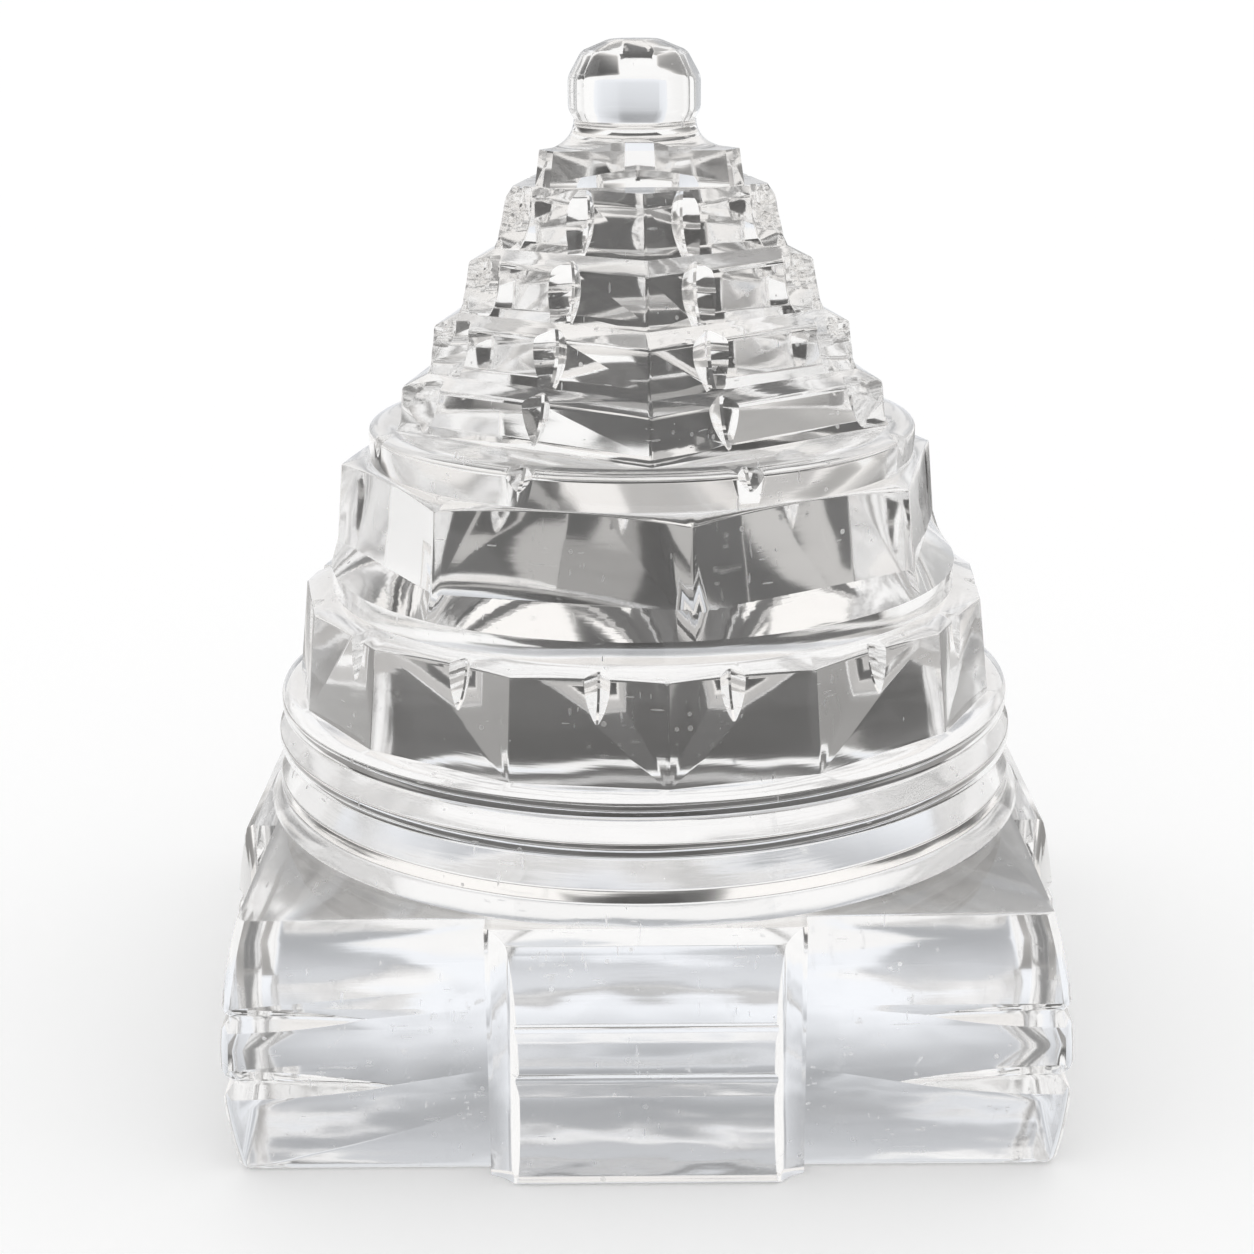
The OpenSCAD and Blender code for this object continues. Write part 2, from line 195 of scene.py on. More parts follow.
# Work at the bench
def take(piece):
    """Selects one piece alone."""
    bpy.ops.object.select_all(action="DESELECT")
    piece.select_set(True)
    bpy.context.view_layer.objects.active = piece


def edit(piece):
    take(piece)
    bpy.ops.object.mode_set(mode="EDIT")
    bpy.ops.mesh.select_all(action="SELECT")


def done():
    bpy.ops.object.mode_set(mode="OBJECT")


def raised(piece, sections):
    """Extrudes a flat outline up through the radius and height of each section."""
    edit(piece)
    for (r0, z0), (r1, z1) in zip(sections, sections[1:]):
        bpy.ops.mesh.extrude_region_move(TRANSFORM_OT_translate={"value": (0, 0, (z1 - z0) * MM)})
        share = r1 / r0
        bpy.ops.transform.resize(value=(share, share, 1), center_override=(0, 0, z1 * MM))
    bpy.ops.mesh.select_all(action="SELECT")
    bpy.ops.mesh.normals_make_consistent(inside=False)
    done()
    bpy.ops.object.transform_apply(location=True, rotation=True, scale=True)
    return piece


def outline(name, count, radius, height):
    """A flat filled polygon, ready to be raised."""
    bpy.ops.object.select_all(action="DESELECT")
    bpy.ops.mesh.primitive_circle_add(
        vertices=count, radius=radius * MM, fill_type="NGON", location=(0, 0, height * MM))
    piece = bpy.context.object
    piece.name = name
    return piece


def turned(name, profile, sides=CIRCLE_SIDES):
    """A round blank, from the radius and height of each bend."""
    return raised(outline(name, sides, *profile[0]), profile)


def lofted(name, corners, sections):
    """A blank with flats, whose corners stand at the given angles."""
    radius, height = sections[0]
    piece = outline(name, len(corners), radius, height)
    for vertex, angle in zip(piece.data.vertices, corners):
        vertex.co = direction(angle) * radius * MM
    return raised(piece, sections)


def grind(piece, point, normal, keep_both=False):
    """Grinds away all that lies outside a plane, or only scores the plane's line."""
    edit(piece)
    away = not keep_both
    bpy.ops.mesh.bisect(
        plane_co=point * MM, plane_no=normal, use_fill=away, clear_outer=away, threshold=1e-7)
    done()


def cut(piece, tools, operation="DIFFERENCE"):
    """Applies a Boolean with one or more tools, which are used up."""
    bpy.ops.object.select_all(action="DESELECT")
    for tool in tools:
        tool.select_set(True)
    bpy.context.view_layer.objects.active = tools[0]
    if len(tools) > 1:
        bpy.ops.object.join()
    take(piece)
    modifier = piece.modifiers.new("cut", "BOOLEAN")
    modifier.operation = operation
    modifier.solver = "EXACT"
    modifier.object = tools[0]
    bpy.ops.object.modifier_apply(modifier=modifier.name)
    bpy.data.objects.remove(tools[0])


def soften(piece, width=EDGE_SOFTENING, keep=(), sharp=18, front=None):
    """Rounds the sharp edges a little, but not those that lie on a seat or behind a given front."""
    edit(piece)
    bpy.ops.mesh.remove_doubles(threshold=2e-5)
    bpy.context.tool_settings.mesh_select_mode = (False, True, False)
    bpy.ops.mesh.select_all(action="DESELECT")
    bpy.ops.mesh.edges_select_sharp(sharpness=math.radians(sharp))
    done()
    mesh = piece.data
    sharp_edges = []
    for edge in mesh.edges:
        heights = [mesh.vertices[v].co.z / MM for v in edge.vertices]
        on_seat = any(max(abs(h - z) for h in heights) < 0.02 for z in keep)
        if front is not None:
            on_seat = on_seat or max(-mesh.vertices[v].co.y / MM for v in edge.vertices) < front
        sharp_edges.append(edge.select and not on_seat)
    mesh.polygons.foreach_set("select", [False] * len(mesh.polygons))
    mesh.vertices.foreach_set("select", [False] * len(mesh.vertices))
    mesh.edges.foreach_set("select", sharp_edges)
    bpy.ops.object.mode_set(mode="EDIT")
    bpy.ops.mesh.bevel(offset=width * MM, segments=2, affect="EDGES", clamp_overlap=True)
    bpy.context.tool_settings.mesh_select_mode = (True, False, False)
    done()


def seat_for(piece, corners, radius, height):
    """Sinks a hair-deep seat for what stands on a piece, so that the seat has a face of its own."""
    cut(piece, [lofted("seat", corners, [(radius, height - SEAT_DEPTH), (radius, height + 1)])])


def wheel(angle, edge_r, edge_z, depth, height, width):
    """A grinding wheel that stands upright in the radial plane, set to notch a top edge."""
    chord = math.hypot(depth, height)
    far = math.sqrt(WHEEL_RADIUS ** 2 - (chord / 2) ** 2)
    centre_r = edge_r - depth / 2 + far * height / chord
    centre_z = edge_z - height / 2 + far * depth / chord
    profile = []
    for share in WHEEL_SHARES:
        profile.append((WHEEL_RADIUS - depth * abs(share) ** WHEEL_BEND, share * width / 2))
    tool = turned("wheel", profile, sides=TOOL_SIDES)
    turn = Matrix.Rotation(math.radians(angle), 4, "Z")
    centre = Matrix.Translation((0, -centre_r * MM, centre_z * MM))
    tool.data.transform(turn @ centre @ Matrix.Rotation(math.radians(90), 4, "Y"))
    return tool


# Finishes
def node(tree, kind, at, **inputs):
    made = tree.nodes.new(kind)
    made.location = at
    for name, value in inputs.items():
        made.inputs[name.replace("_", " ")].default_value = value
    return made


def math_node(tree, kind, at, first, second):
    """A Math node whose two inputs are sockets or plain numbers."""
    made = tree.nodes.new("ShaderNodeMath")
    made.operation = kind
    made.location = at
    for socket, value in zip(made.inputs, (first, second)):
        if isinstance(value, (int, float)):
            socket.default_value = value
        else:
            tree.links.new(value, socket)
    return made.outputs["Value"]


def noise(tree, place, at, stretch, detail=2.0, roughness=0.5, turn=(0, 0, 0)):
    """Noise on object coordinates, with so many cells a metre along X, Y and Z."""
    mapping = node(tree, "ShaderNodeMapping", (at[0] - 200, at[1]), Scale=stretch, Rotation=turn)
    cells = node(tree, "ShaderNodeTexNoise", at, Scale=1.0, Detail=detail, Roughness=roughness)
    tree.links.new(place.outputs["Object"], mapping.inputs["Vector"])
    tree.links.new(mapping.outputs["Vector"], cells.inputs["Vector"])
    return cells.outputs["Fac"]


def rock_crystal():
    """Polished clear quartz: slow waves and streaks from hand grinding, a few scratches and pits."""
    material = bpy.data.materials.new("rock_crystal")
    material.use_nodes = True
    tree = material.node_tree
    shader = tree.nodes["Principled BSDF"]
    shader.inputs["Base Color"].default_value = QUARTZ_TINT
    shader.inputs["Transmission Weight"].default_value = 1.0
    shader.inputs["IOR"].default_value = QUARTZ_INDEX
    place = node(tree, "ShaderNodeTexCoord", (-1600, 0))
    waves = noise(tree, place, (-1200, 300), (170, 170, 210), 1.0)
    streaks = noise(tree, place, (-1200, 0), (110, 110, 1900), 3.0, 0.6)
    where = noise(tree, place, (-1200, -300), (260, 260, 260), 1.0)
    level = noise(tree, place, (-1200, -600), (800, 800, 7000), 0.0)
    slant = noise(tree, place, (-1200, -750), (5000, 700, 900), 0.0, turn=(0.4, 0.7, 0.5))
    either = math_node(tree, "MAXIMUM", (-900, -600), level, slant)
    scratch = math_node(tree, "GREATER_THAN", (-700, -600), either, SCRATCHED_ABOVE)
    grit = node(tree, "ShaderNodeTexVoronoi", (-1200, -900), Scale=900.0)
    tree.links.new(place.outputs["Object"], grit.inputs["Vector"])
    few = math_node(tree, "GREATER_THAN", (-700, -900), where, MARKED_ABOVE)
    pits = math_node(tree, "LESS_THAN", (-900, -900), grit.outputs["Distance"], PIT_REACH)
    either = math_node(tree, "MAXIMUM", (-500, -700), scratch, pits)
    marks = math_node(tree, "MULTIPLY", (-300, -700), either, few)
    shape = node(tree, "ShaderNodeNewGeometry", (-1600, 500))
    facing = node(tree, "ShaderNodeSeparateXYZ", (-1400, 500))
    tree.links.new(shape.outputs["True Normal"], facing.inputs["Vector"])
    upward = math_node(tree, "ABSOLUTE", (-1200, 500), facing.outputs["Z"], 0)
    ledge = math_node(tree, "POWER", (-1000, 500), upward, 3)
    streak_height = math_node(tree, "MULTIPLY_ADD", (-800, 500), ledge, LEDGE_STREAK_HEIGHT - STREAK_HEIGHT)
    streak_height.node.inputs[2].default_value = STREAK_HEIGHT
    height = math_node(tree, "MULTIPLY_ADD", (-300, 200), waves, WAVE_HEIGHT)
    tree.links.new(math_node(tree, "MULTIPLY", (-500, 0), streaks, streak_height), height.node.inputs[2])
    depth = math_node(tree, "MULTIPLY", (-300, -300), marks, MARK_DEPTH)
    height = math_node(tree, "SUBTRACT", (-200, 0), height, depth)
    bump = node(tree, "ShaderNodeBump", (-100, -100), Strength=1.0, Distance=MM)
    tree.links.new(height, bump.inputs["Height"])
    tree.links.new(bump.outputs["Normal"], shader.inputs["Normal"])
    rough = math_node(tree, "MULTIPLY_ADD", (-100, 200), marks, MARK_ROUGHNESS)
    rough.node.inputs[2].default_value = POLISH_ROUGHNESS
    tree.links.new(rough, shader.inputs["Roughness"])
    return material


def joint_plane():
    """The plane where two enclosures of one crystal meet: nothing is seen there."""
    material = bpy.data.materials.new("joint_plane")
    material.use_nodes = True
    shader = material.node_tree.nodes["Principled BSDF"]
    shader.inputs["Base Color"].default_value = (1, 1, 1, 1)
    shader.inputs["Transmission Weight"].default_value = 1.0
    shader.inputs["IOR"].default_value = 1.0
    shader.inputs["Roughness"].default_value = 0.0
    shader.inputs["Alpha"].default_value = 0.0
    return material


CRYSTAL = rock_crystal()
JOINT = joint_plane()


def seated(piece, replaced, joint):
    """Finishes a piece: crystal outside, joint planes where joint(centre, normal) says so."""
    mesh = piece.data
    edit(piece)
    bpy.ops.mesh.remove_doubles(threshold=1e-6)
    bpy.ops.mesh.normals_make_consistent(inside=False)
    done()
    mesh.materials.clear()
    mesh.materials.append(CRYSTAL)
    mesh.materials.append(JOINT)
    for face in mesh.polygons:
        face.material_index = 1 if joint(face.center / MM, face.normal) else 0
    take(piece)
    bpy.ops.object.shade_smooth_by_angle(angle=math.radians(SMOOTH_ANGLE))
    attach(piece, "root")
    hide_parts(replaced)
    piece.name = replaced + "_crystal"
    mesh.name = piece.name
    return piece


def on_planes(*heights):
    """True for a level face at one of the heights."""
    def test(centre, normal):
        return abs(normal.z) > 0.999 and any(abs(centre.z - z) < SEAT_DEPTH / 3 for z in heights)
    return test


# Base block and gates
BASE_H = crown("base_block")


def bulge_in(z):
    """How far a bulging side lies inside its widest line at a height."""
    rise = BASE_H - BASE_BULGE_Z
    bend = (BASE_TOP_INSET ** 2 + rise ** 2) / (2 * BASE_TOP_INSET)
    return bend - math.sqrt(bend ** 2 - (z - BASE_BULGE_Z) ** 2)


def bulging_square(name, half, over=0):
    """A square block with bulging sides, a rounded foot and blunted corners."""
    turn = math.degrees(math.atan2(half, half - BASE_CORNER_FLAT / math.sqrt(2))) - 45
    corners = [q + 45 + side * turn for q in range(0, 360, 90) for side in (-1, 1)]
    rows = []
    for i in range(BASE_FOOT_STEPS):
        t = math.radians(90 * i / BASE_FOOT_STEPS)
        inset = bulge_in(BASE_FOOT_ROUND) + BASE_FOOT_ROUND * (1 - math.sin(t))
        rows.append((inset, BASE_FOOT_ROUND * (1 - math.cos(t))))
    for i in range(BASE_SIDE_STEPS + 1):
        z = BASE_FOOT_ROUND + (BASE_H - BASE_FOOT_ROUND) * i / BASE_SIDE_STEPS
        rows.append((bulge_in(z), z))
    if over:
        rows = [(rows[0][0], -over)] + rows + [(rows[-1][0], BASE_H + over)]
    share = math.cos(math.radians(45 - turn))
    return lofted(name, corners, [((half - inset) / share, z) for inset, z in rows])


FOOT_RADIUS = reach("lower_circle")
ROUND = [360 * i / CIRCLE_SIDES for i in range(CIRCLE_SIDES)]


def base_block():
    piece = bulging_square("base_block_crystal", BASE_HALF)
    wheel_r = (CORNER_GROOVE_RUN ** 2 + CORNER_GROOVE_DEPTH ** 2) / (2 * CORNER_GROOVE_DEPTH)
    mouth = CORNER_GROOVE_MOUTH
    depth = CORNER_GROOVE_DEPTH
    tip_deep, tip_wide = CORNER_GROOVE_TIP
    profile = [(wheel_r - 2 * depth, -mouth), (wheel_r - tip_deep, -tip_wide), (wheel_r, 0),
               (wheel_r - tip_deep, tip_wide), (wheel_r - 2 * depth, mouth)]
    tools = []
    for quarter in range(4):
        turn = Matrix.Rotation(math.radians(90 * quarter), 4, "Z")
        for side in (-1, 1):
            for z in CORNER_GROOVES:
                tool = turned("groove", profile, sides=720)
                centre = Vector((side * BASE_HALF, -(BASE_HALF - depth + wheel_r), z)) * MM
                tool.data.transform(turn @ Matrix.Translation(centre))
                tools.append(tool)
    for tool in tools:
        cut(piece, [tool])
    soften(piece, keep=(0,))
    for quarter in range(4):
        side = direction(90 * quarter + 90)
        for way in (-1, 1):
            grind(piece, side * GATE_ROOT_WIDTH / 2 * way, side, keep_both=True)
    seat_for(piece, ROUND, FOOT_RADIUS, BASE_H)
    seat = on_planes(BASE_H - SEAT_DEPTH)

    def joint(centre, normal):
        if abs(normal.z) > 0.99:
            return seat(centre, normal)
        across = min(abs(centre.x), abs(centre.y))
        return across < GATE_ROOT_WIDTH / 2 and max(abs(centre.x), abs(centre.y)) > BASE_HALF - GATE_ROOT_DEPTH
    return seated(piece, "base_block", joint)


def gate(quarter, replaced):
    face_y = BASE_HALF + GATE_OUT
    out = direction(0)
    side = direction(90)
    piece = bulging_square(replaced + "_crystal", face_y)
    grind(piece, out * (BASE_HALF - GATE_ROOT_DEPTH), -out)
    flank = Vector((GATE_ROOT_WIDTH / 2 - GATE_WIDTH / 2, GATE_OUT))
    for way in (-1, 1):
        grind(piece, side * way * GATE_ROOT_WIDTH / 2, side * way)
        grind(piece, side * way * GATE_WIDTH / 2 + out * face_y, side * way * flank.y + out * flank.x)
    cut(piece, [bulging_square("block", BASE_HALF, over=1)])
    run = flank.length
    hollow_r = ((run / 2) ** 2 + GATE_HOLLOW ** 2) / (2 * GATE_HOLLOW)
    for way in (-1, 1):
        spot = side * way * (GATE_WIDTH / 2 + flank.x / 2) + out * (face_y - flank.y / 2)
        spot += (side * way * flank.y + out * flank.x) / run * (hollow_r - GATE_HOLLOW)
        tool = turned("hollow", [(hollow_r, -1), (hollow_r, BASE_H + 1)], sides=TOOL_SIDES)
        tool.data.transform(Matrix.Translation(spot * MM))
        cut(piece, [tool])
    for z in GATE_GROOVES:
        wide = GATE_GROOVE_MOUTH / 2
        deep = GATE_GROOVE_DEPTH
        points = [(-1.5 * wide, -0.5 * deep), (-0.25 * wide, 0.8 * deep), (0, 0.9 * deep),
                  (0.25 * wide, 0.8 * deep), (1.5 * wide, -0.5 * deep)]
        tool = outline("groove", len(points), 1, -GATE_GROOVE_RUN)
        for vertex, (x, y) in zip(tool.data.vertices, points):
            vertex.co = Vector((x, y, 0)) * MM
        raised(tool, [(1, -GATE_GROOVE_RUN), (1, GATE_GROOVE_RUN)])
        spot = Matrix.Translation((out * face_y + Vector((0, 0, z))) * MM)
        tool.data.transform(spot @ Matrix.Rotation(math.radians(90), 4, "Y"))
        cut(piece, [tool])
    up = Vector((0, 0, 1))
    grind(piece, out * (face_y - BASE_TOP_INSET) + up * (BASE_H - GATE_CHAMFER), out + up)
    soften(piece, keep=(0, BASE_H), front=BASE_HALF + 0.05)
    seat_for(piece, ROUND, FOOT_RADIUS, BASE_H)
    piece.data.transform(Matrix.Rotation(math.radians(90 * quarter), 4, "Z"))
    facing = direction(90 * quarter)
    seat = on_planes(BASE_H - SEAT_DEPTH)

    def joint(centre, normal):
        if abs(normal.z) > 0.99:
            return seat(centre, normal)
        return normal.dot(facing) < -0.5
    return seated(piece, replaced, joint)


base_block()
for quarter, name in enumerate(("gate_front", "gate_right", "gate_back", "gate_left")):
    gate(quarter, name)


# Three circles
def circle(replaced, profile, joint):
    """A ring with softened bends, finished at once unless more is cut into it."""
    piece = turned(replaced + "_crystal", profile)
    soften(piece, RING_SOFTENING, keep=(profile[0][1], profile[-1][1]))
    return piece if joint is None else seated(piece, replaced, joint)


lower_r = FOOT_RADIUS - CIRCLE_FOOT_OUT
middle_r = reach("middle_circle")
upper_r = reach("upper_circle")
z0 = foot("lower_circle")
z1 = foot("middle_circle")
z2 = foot("upper_circle")
z3 = foot("sixteen_petal_tier")
sixteen_r = corner_radius("sixteen_petal_tier", SIXTEEN_CORNERS)
lower_band = z0 + CIRCLE_FOOT_RISE
middle_band = z1 + CIRCLE_UNDERCUT
upper_band = z2 + CIRCLE_UNDERCUT
circle("lower_circle", [
    (FOOT_RADIUS, z0), (lower_r, lower_band), (lower_r, lower_band + CIRCLE_BAND),
    (lower_r - CIRCLE_GROOVE, z1)], on_planes(z0, z1))
circle("middle_circle", [
    (lower_r - CIRCLE_GROOVE, z1), (middle_r, middle_band), (middle_r, middle_band + CIRCLE_BAND),
    (middle_r - CIRCLE_GROOVE, z2)], on_planes(z1, z2))
piece = circle("upper_circle", [
    (middle_r - CIRCLE_GROOVE, z2), (upper_r, upper_band), (upper_r, upper_band + CIRCLE_BAND),
    (sixteen_r, z3)], None)
seat_for(piece, SIXTEEN_CORNERS, sixteen_r, z3)
seated(piece, "upper_circle", on_planes(z2, z3 - SEAT_DEPTH))


# Lotus tiers
def petal_blank(name, corners, low, high, seat):
    """A prism of leaning flats from low to high, topped by a cone that rises to a round seat."""
    spare = 1.0
    lean = (low[0] - high[0]) / (high[1] - low[1])
    over = seat[1] + spare
    below = (low[0] + lean * spare, low[1] - spare)
    above = (low[0] - lean * (over - low[1]), over)
    piece = lofted(name, corners, [below, above])
    slope = (seat[1] - high[1]) / (high[0] - seat[0])
    wide = low[0] + 2 * spare
    skirt = high[1] - slope * (wide - high[0])
    cut(piece, [turned("cone", [(wide, low[1] - 2 * spare), (wide, skirt), seat])], "INTERSECT")
    soften(piece, FACET_SOFTENING, keep=(low[1] - spare, seat[1]), sharp=8)
    return piece


def sixteen_petal_tier():
    low, high = foot("sixteen_petal_tier"), crown("sixteen_petal_tier")
    edge = (sixteen_r - SIXTEEN_LEAN, high - LOTUS_RISE)
    seat = (reach("lotus_collar"), high)
    piece = petal_blank("sixteen_petal_tier_crystal", SIXTEEN_CORNERS, (sixteen_r, low), edge, seat)
    grind(piece, Vector((0, 0, low)), Vector((0, 0, -1)))
    wheels = []
    for a in SIXTEEN_NOTCHES:
        wheels.append(wheel(a, rim(SIXTEEN_CORNERS, edge[0], a), edge[1], *SIXTEEN_NOTCH))
    cut(piece, wheels)
    return seated(piece, "sixteen_petal_tier", on_planes(low, high))


def petal_ledge(collar, petal_r, low):
    """The slope from the round collar in to the feet of the eight petals, with spare above and below."""
    corners = [a % 360 for a in EIGHT_CORNERS]
    angles = sorted(set(ROUND + corners))
    start, end = -0.4, 1.25
    rise = EIGHT_FOOT_RISE

    def place(angle, t):
        return direction(angle) * (collar + t * (rim(EIGHT_CORNERS, petal_r, angle) - collar)) * MM
    ledge = outline("ledge", len(angles), collar, low + start * rise)
    for vertex, angle in zip(ledge.data.vertices, angles):
        vertex.co = place(angle, start)
    edit(ledge)
    bpy.ops.mesh.extrude_region_move(TRANSFORM_OT_translate={"value": (0, 0, (end - start) * rise * MM)})
    done()
    for vertex in ledge.data.vertices:
        if vertex.select:
            spot = place(math.degrees(math.atan2(vertex.co.x, -vertex.co.y)), end)
            vertex.co.x = spot.x
            vertex.co.y = spot.y
    edit(ledge)
    bpy.ops.mesh.normals_make_consistent(inside=False)
    done()
    bpy.ops.object.transform_apply(location=True, rotation=True, scale=True)
    return ledge


def eight_petal_tier():
    low, high = foot("eight_petal_tier"), crown("eight_petal_tier")
    collar = reach("lotus_collar")
    eight_r = collar - EIGHT_INSET
    edge = (eight_r - EIGHT_LEAN, high - LOTUS_RISE)
    seat = (reach("plinth_ring"), high)
    piece = petal_blank("eight_petal_tier_crystal", EIGHT_CORNERS, (eight_r, low), edge, seat)
    petal_r = eight_r - EIGHT_LEAN * EIGHT_FOOT_RISE / (edge[1] - low)
    cut(piece, [petal_ledge(collar, petal_r, low)], "UNION")
    grind(piece, Vector((0, 0, low)), Vector((0, 0, -1)))
    return seated(piece, "eight_petal_tier", on_planes(low, high))


sixteen_petal_tier()
collar_r = reach("lotus_collar")
z4 = foot("lotus_collar")
z5 = crown("lotus_collar")
circle("lotus_collar", [(collar_r, z4), (collar_r, z4 + COLLAR_LINE), (collar_r, z5)], on_planes(z4, z5))
eight_petal_tier()


# Plinth and notched tiers
def plinth_ring():
    low, high = foot("plinth_ring"), crown("plinth_ring")
    radius = reach("plinth_ring")
    seat = corner_radius("notched_tier_1", TIER_CORNERS)
    edge_z = high - PLINTH_RISE
    piece = turned("plinth_ring_crystal", [(radius, low), (radius, edge_z), (seat + SEAT_MARGIN, high)])
    soften(piece, keep=(low, high))
    cut(piece, [wheel(a, radius, edge_z, *PLINTH_NOTCH) for a in PLINTH_NOTCHES])
    seat_for(piece, TIER_CORNERS, seat, high)
    return seated(piece, "plinth_ring", on_planes(low, high - SEAT_DEPTH))


def notched_tier(number):
    name = "notched_tier_%d" % number
    low, high = foot(name), crown(name)
    foot_r = corner_radius(name, TIER_CORNERS)
    upright_r = foot_r - TIER_FOOT_OUT
    edge = (upright_r - TIER_LEANS[number - 1], high - TIER_RISE)
    trikona_r = corner_radius("trikona", TRIKONA_CORNERS)
    if number < 4:
        seat_r = corner_radius("notched_tier_%d" % (number + 1), TIER_CORNERS)
    else:
        seat_r = max(trikona_r / rim(TIER_CORNERS, 1, a) for a in TRIKONA_CORNERS) + SEAT_MARGIN
    piece = lofted(name + "_crystal", TIER_CORNERS,
                   [(foot_r, low), (upright_r, low + TIER_FOOT_RISE), edge, (seat_r, high)])
    soften(piece, FACET_SOFTENING, keep=(low, high))
    notch = (TIER_NOTCH_DEPTH, TIER_NOTCH_HEIGHTS[number - 1], TIER_NOTCH_WIDTHS[number - 1])
    cut(piece, [wheel(a, rim(TIER_CORNERS, edge[0], a), edge[1], *notch) for a in TIER_NOTCHES])
    if number == 4:
        seat_for(piece, TRIKONA_CORNERS, trikona_r, high)
        return seated(piece, name, on_planes(low, high - SEAT_DEPTH))
    return seated(piece, name, on_planes(low, high))


plinth_ring()
for number in (1, 2, 3, 4):
    notched_tier(number)


# Summit
def trikona():
    low, high = foot("trikona"), crown("trikona")
    radius = corner_radius("trikona", TRIKONA_CORNERS)
    neck = corner_radius("bindu", BINDU_CORNERS) * NECK_SHARE
    aside = Matrix.Translation((-SUMMIT_OFF * MM, 0, 0))
    shoulder = high - COVE_RISE
    piece = lofted("trikona_crystal", TRIKONA_CORNERS,
                   [(radius, low), (radius - TRIKONA_LEAN, shoulder), (radius - TRIKONA_LEAN, high)])
    ring = turned("cove", [(neck + COVE_RISE + 6, shoulder), (neck + COVE_RISE + 6, high + 1)])
    core = [(neck + COVE_RISE, shoulder - 1), (neck + COVE_RISE, shoulder)]
    for i in range(1, COVE_STEPS + 1):
        t = math.radians(90 * i / COVE_STEPS)
        core.append((neck + COVE_RISE * (1 - math.sin(t)), high - COVE_RISE * math.cos(t)))
    core.append((neck, high + 2))
    cut(ring, [turned("core", core)])
    ring.data.transform(aside)
    cut(piece, [ring])
    seat = lofted("seat", BINDU_CORNERS, [(neck, high - SEAT_DEPTH), (neck, high + 1)])
    seat.data.transform(aside)
    cut(piece, [seat])
    return seated(piece, "trikona", on_planes(low, high - SEAT_DEPTH))


def bindu():
    low, high = foot("bindu"), crown("bindu")
    radius = corner_radius("bindu", BINDU_CORNERS)
    neck = radius * NECK_SHARE
    girdle = low + BINDU_FLARE + BINDU_UPRIGHT
    piece = lofted("bindu_crystal", BINDU_CORNERS, [
        (neck, low), (radius, low + BINDU_FLARE), (radius, girdle),
        (radius * BINDU_SHOULDER_SHARE, girdle + BINDU_SHOULDER_RISE), (radius * BINDU_TOP_SHARE, high)])
    soften(piece, BINDU_SOFTENING, keep=(low,))
    piece.data.transform(Matrix.Translation((-SUMMIT_OFF * MM, 0, 0)))
    return seated(piece, "bindu", on_planes(low))


trikona()
bindu()

# Stage, light and camera
CAMERA_BACK = 126.8
CAMERA_HEIGHT = 63.48
CAMERA_PITCH = 0.2996
CAMERA_ROLL = 0.0085
CAMERA_LENS = 61.49
CAMERA_SENSOR = 36
CAMERA_SHIFT_X = -0.0087
FLOOR_SIZE = 40000
FLOOR_GAP = 0.05
FLOOR_LIFT = 0.105
PAPER = (0.9, 0.9, 0.9, 1)
# Levels and tints of the glowing cards that only the crystal sees: painted shade and light in its reflections
# and refractions
CARD_EDGE = 0.95
CARD_FADE = 8
BACKDROP_LEVELS = ((0.12, 0.84), (0.24, 0.76), (0.36, 0.6), (0.48, 0.42), (0.6, 0.4), (0.68, 0.62), (0.8, 1.0))
COOL = (0.955, 0.985, 1.035, 1)
WARM = (1.02, 1.0, 0.98, 1)


def emission(tree, at, strength):
    """An emitter whose strength is a plain number or a socket."""
    made = tree.nodes.new("ShaderNodeEmission")
    made.location = at
    if isinstance(strength, (int, float)):
        made.inputs["Strength"].default_value = strength
    else:
        tree.links.new(strength, made.inputs["Strength"])
    return made


def seen_ray(tree, at):
    """1 for rays that show the background: to the camera, mirrored, or through the crystal."""
    path = node(tree, "ShaderNodeLightPath", at)
    glossy = math_node(tree, "MAXIMUM", at, path.outputs["Is Camera Ray"], path.outputs["Is Glossy Ray"])
    return math_node(tree, "MAXIMUM", at, glossy, path.outputs["Is Transmission Ray"])


def white_floor():
    """White paper, lifted a little so that it reads as white, with the crystal's shadow on it."""
    bpy.ops.object.select_all(action="DESELECT")
    bpy.ops.mesh.primitive_plane_add(size=FLOOR_SIZE * MM, location=(0, 0, -FLOOR_GAP * MM))
    floor = bpy.context.object
    floor.name = "floor"
    material = bpy.data.materials.new("floor_paper")
    material.use_nodes = True
    tree = material.node_tree
    shader = tree.nodes["Principled BSDF"]
    shader.inputs["Base Color"].default_value = PAPER
    shader.inputs["Roughness"].default_value = 1.0
    shader.inputs["Specular IOR Level"].default_value = 0.0
    seen = seen_ray(tree, (-600, -300))
    lift = emission(tree, (0, -300), math_node(tree, "MULTIPLY", (-200, -300), seen, FLOOR_LIFT))
    both = node(tree, "ShaderNodeAddShader", (300, 0))
    tree.links.new(shader.outputs["BSDF"], both.inputs[0])
    tree.links.new(lift.outputs["Emission"], both.inputs[1])
    tree.links.new(both.outputs["Shader"], tree.nodes["Material Output"].inputs["Surface"])
    floor.data.materials.append(material)


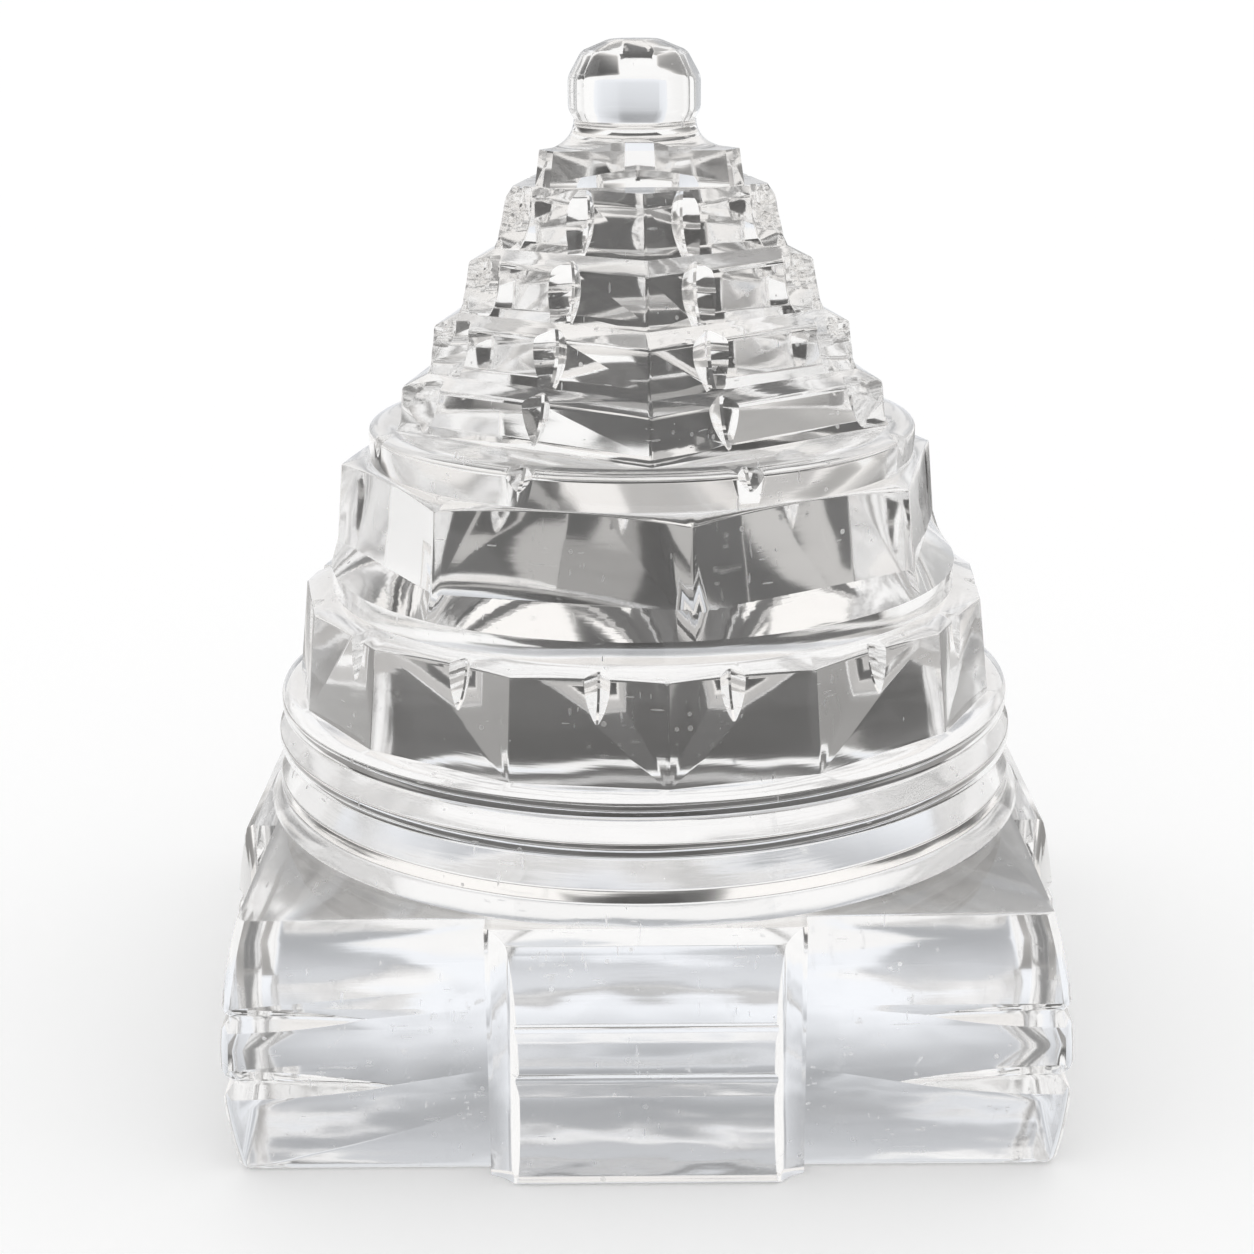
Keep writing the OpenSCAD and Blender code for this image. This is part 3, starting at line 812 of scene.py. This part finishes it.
def card(name, width, depth, place, level, tint=(1, 1, 1, 1), face=None):
    """A glowing grey card, flat or upright and turned, seen only as painted shade and light in the crystal."""
    bpy.ops.object.select_all(action="DESELECT")
    bpy.ops.mesh.primitive_plane_add(size=1, location=Vector(place) * MM)
    flag = bpy.context.object
    flag.name = name
    flag.scale = (width * MM, depth * MM, 1)
    if face is not None:
        flag.rotation_euler = (math.radians(90), 0, math.radians(face))
    material = bpy.data.materials.new(name)
    material.use_nodes = True
    tree = material.node_tree
    tree.nodes.remove(tree.nodes["Principled BSDF"])
    glow = emission(tree, (0, 0), level if isinstance(level, (int, float)) else level(tree))
    glow.inputs["Color"].default_value = tint
    tree.links.new(glow.outputs["Emission"], tree.nodes["Material Output"].inputs["Surface"])
    flag.data.materials.append(material)
    flag.visible_camera = False
    flag.visible_diffuse = False
    flag.visible_shadow = False


def backdrop_level(tree):
    """The backdrop card's painted shade and light: grey low down, white higher up and at the foot, and lighter
    towards both sides.
    """
    place = node(tree, "ShaderNodeTexCoord", (-1200, 0))
    split = node(tree, "ShaderNodeSeparateXYZ", (-1000, 0))
    tree.links.new(place.outputs["Object"], split.inputs["Vector"])
    ramp = tree.nodes.new("ShaderNodeValToRGB")
    ramp.location = (-700, 100)
    steps = ramp.color_ramp.elements
    steps[0].position = 0.0
    steps[0].color = (1, 1, 1, 1)
    steps[1].position = 1.0
    steps[1].color = (1, 1, 1, 1)
    for position, level in BACKDROP_LEVELS:
        step = steps.new(position)
        step.color = (level, level, level, 1)
    tree.links.new(math_node(tree, "ADD", (-900, 100), split.outputs["Y"], 0.5), ramp.inputs["Fac"])
    aside = math_node(tree, "ABSOLUTE", (-900, -200), split.outputs["X"], 0)
    aside = math_node(tree, "MULTIPLY", (-700, -200), aside, 2)
    aside = math_node(tree, "POWER", (-500, -200), aside, 2)
    mix = tree.nodes.new("ShaderNodeMix")
    mix.location = (-300, 0)
    mix.inputs["B"].default_value = CARD_EDGE
    tree.links.new(aside, mix.inputs["Factor"])
    tree.links.new(ramp.outputs["Color"], mix.inputs["A"])
    return mix.outputs["Result"]


def faded(level):
    """The level of a card that pales towards its edges."""
    def build(tree):
        place = node(tree, "ShaderNodeTexCoord", (-1200, 0))
        split = node(tree, "ShaderNodeSeparateXYZ", (-1000, 0))
        tree.links.new(place.outputs["Object"], split.inputs["Vector"])
        aside = math_node(tree, "ABSOLUTE", (-800, 100), split.outputs["X"], 0)
        along = math_node(tree, "ABSOLUTE", (-800, -100), split.outputs["Y"], 0)
        out = math_node(tree, "MAXIMUM", (-600, 0), aside, along)
        out = math_node(tree, "MULTIPLY", (-400, 0), out, 2)
        out = math_node(tree, "POWER", (-200, 0), out, CARD_FADE)
        paler = math_node(tree, "MULTIPLY_ADD", (0, 0), out, CARD_EDGE - level)
        paler.node.inputs[2].default_value = level
        return paler
    return build


# Grey cards on the floor under, behind and round the crystal, glowing: painted shade and light that only the
# crystal shows, the dark ones under it a painted shadow of the floor. Reach across X and Y, height and level
FLOOR_CARDS = (
    ("under_card", (-23, 23), (-24, 25), -0.03, 0.9),
    ("under_back", (-8, 8), (17.5, 25), -0.02, 0.5),
    ("under_left", (-25, -9), (-13, 12), -0.02, faded(0.3)),
    ("under_right", (9, 25), (-13, 12), -0.02, faded(0.24)),
    ("near_card", (-12, 12), (25, 48), -0.03, 0.3),
    ("near_strip", (-4, 4), (25, 48), -0.02, 0.1),
    ("lens_strip", (-7, 7), (26.8, 31.5), -0.01, 1.0),
    ("ring_strip", (-1.7, 1.7), (26.4, 29.3), -0.005, faded(0.08)),
    ("dark_strip", (-26, 12), (48, 140), -0.03, 0.07),
    ("far_strip", (12, 26), (100, 140), -0.03, 0.12),
    ("left_panel", (3, 12), (58.5, 64), -0.02, 0.45),
    ("middle_panel", (-4, 6.5), (64, 74), -0.02, 0.32),
    ("right_panel", (-15.8, -12), (54, 78), -0.02, 0.52),
    ("outer_panel", (-47, -26), (68, 104), -0.03, faded(0.4)),
    ("right_card", (40, 210), (70, 210), -0.03, faded(0.05)),
    ("left_card", (-210, -47), (50, 150), -0.03, faded(0.25)),
    ("west_strip", (-140, -27), (-14, 14), -0.03, faded(0.12)),
    ("east_strip", (27, 140), (-14, 14), -0.03, faded(0.12)),
    ("front_strip", (-14, 14), (-140, -27), -0.03, faded(0.12)),
)


def studio():
    """The floor, its glowing cards, the upright glowing cards and a plain white world: the cards are painted
    shade and light seen only in the crystal.
    """
    white_floor()
    for name, (west, east), (south, north), height, level in FLOOR_CARDS:
        middle = ((west + east) / 2, (south + north) / 2, height)
        card(name, east - west, north - south, middle, level, WARM)
    # Upright glowing cards seen only in the crystal: a graded backdrop behind, the camera's side in front and
    # flags to either side, all painted shade and light
    card("backdrop", 320, 220, (0, 300, 110), backdrop_level, COOL, face=0)
    card("camera_side", 400, 250, (0, -250, 125), 0.4, face=0)
    for side in (-1, 1):
        card("side_flag", 150, 130, (side * 130, 20, 65), faded(0.22), face=90)
    world = bpy.data.worlds.new("studio")
    bpy.context.scene.world = world
    world.use_nodes = True
    world.node_tree.nodes["Background"].inputs["Color"].default_value = (1, 1, 1, 1)
    world.node_tree.nodes["Background"].inputs["Strength"].default_value = 1.0


studio()
camera_data = bpy.data.cameras.new("camera")
camera_data.lens = CAMERA_LENS
camera_data.sensor_width = CAMERA_SENSOR
camera_data.shift_x = CAMERA_SHIFT_X
camera_data.clip_start = 0.005
camera = bpy.data.objects.new("camera", camera_data)
camera.location = (0, -CAMERA_BACK * MM, CAMERA_HEIGHT * MM)
camera.rotation_euler = (math.radians(90) - CAMERA_PITCH, CAMERA_ROLL, 0)
bpy.context.scene.collection.objects.link(camera)
scene = bpy.context.scene
scene.camera = camera
scene.view_settings.view_transform = "Standard"
scene.cycles.max_bounces = 40
scene.cycles.transmission_bounces = 32
scene.cycles.glossy_bounces = 24
scene.cycles.transparent_max_bounces = 64
